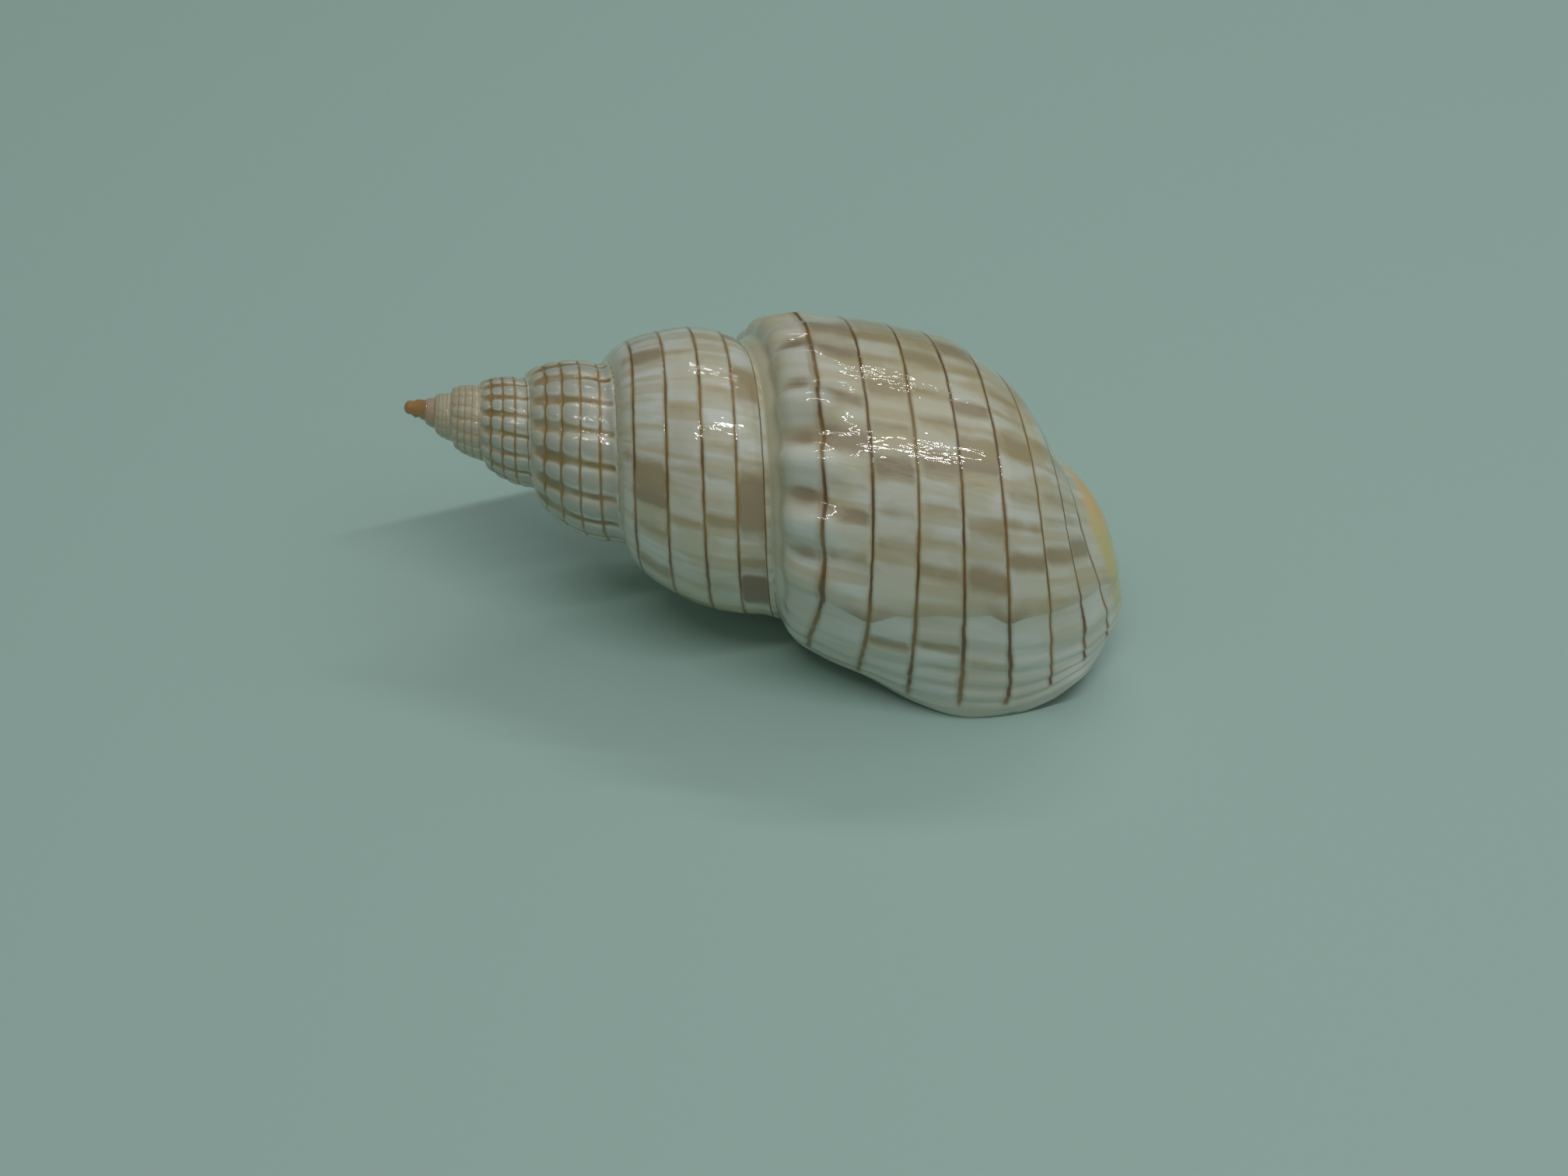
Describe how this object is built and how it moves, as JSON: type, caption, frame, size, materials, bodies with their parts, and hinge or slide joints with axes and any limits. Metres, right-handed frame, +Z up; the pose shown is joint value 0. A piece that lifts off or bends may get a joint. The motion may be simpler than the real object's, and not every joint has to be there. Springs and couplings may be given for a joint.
{
  "type": "glans nassa shell",
  "caption": "Empty sea snail shell with a pointed ribbed spire, a large smooth last whorl, a flared toothed lip and a notched canal, lying aperture down.",
  "frame": {"origin": "centre of the shell's box, on the surface it lies on", "axes": "+X from the tip of the spire towards the canal, +Z up, the edge of the lip towards -Y"},
  "size_m": [0.0354, 0.0176, 0.0154],
  "materials": {
    "shell": "glossy greyish white with thin brown spiral lines and tan blotches"
  },
  "bodies": {
    "root": {"shell": "shell"}
  },
  "joints": []
}
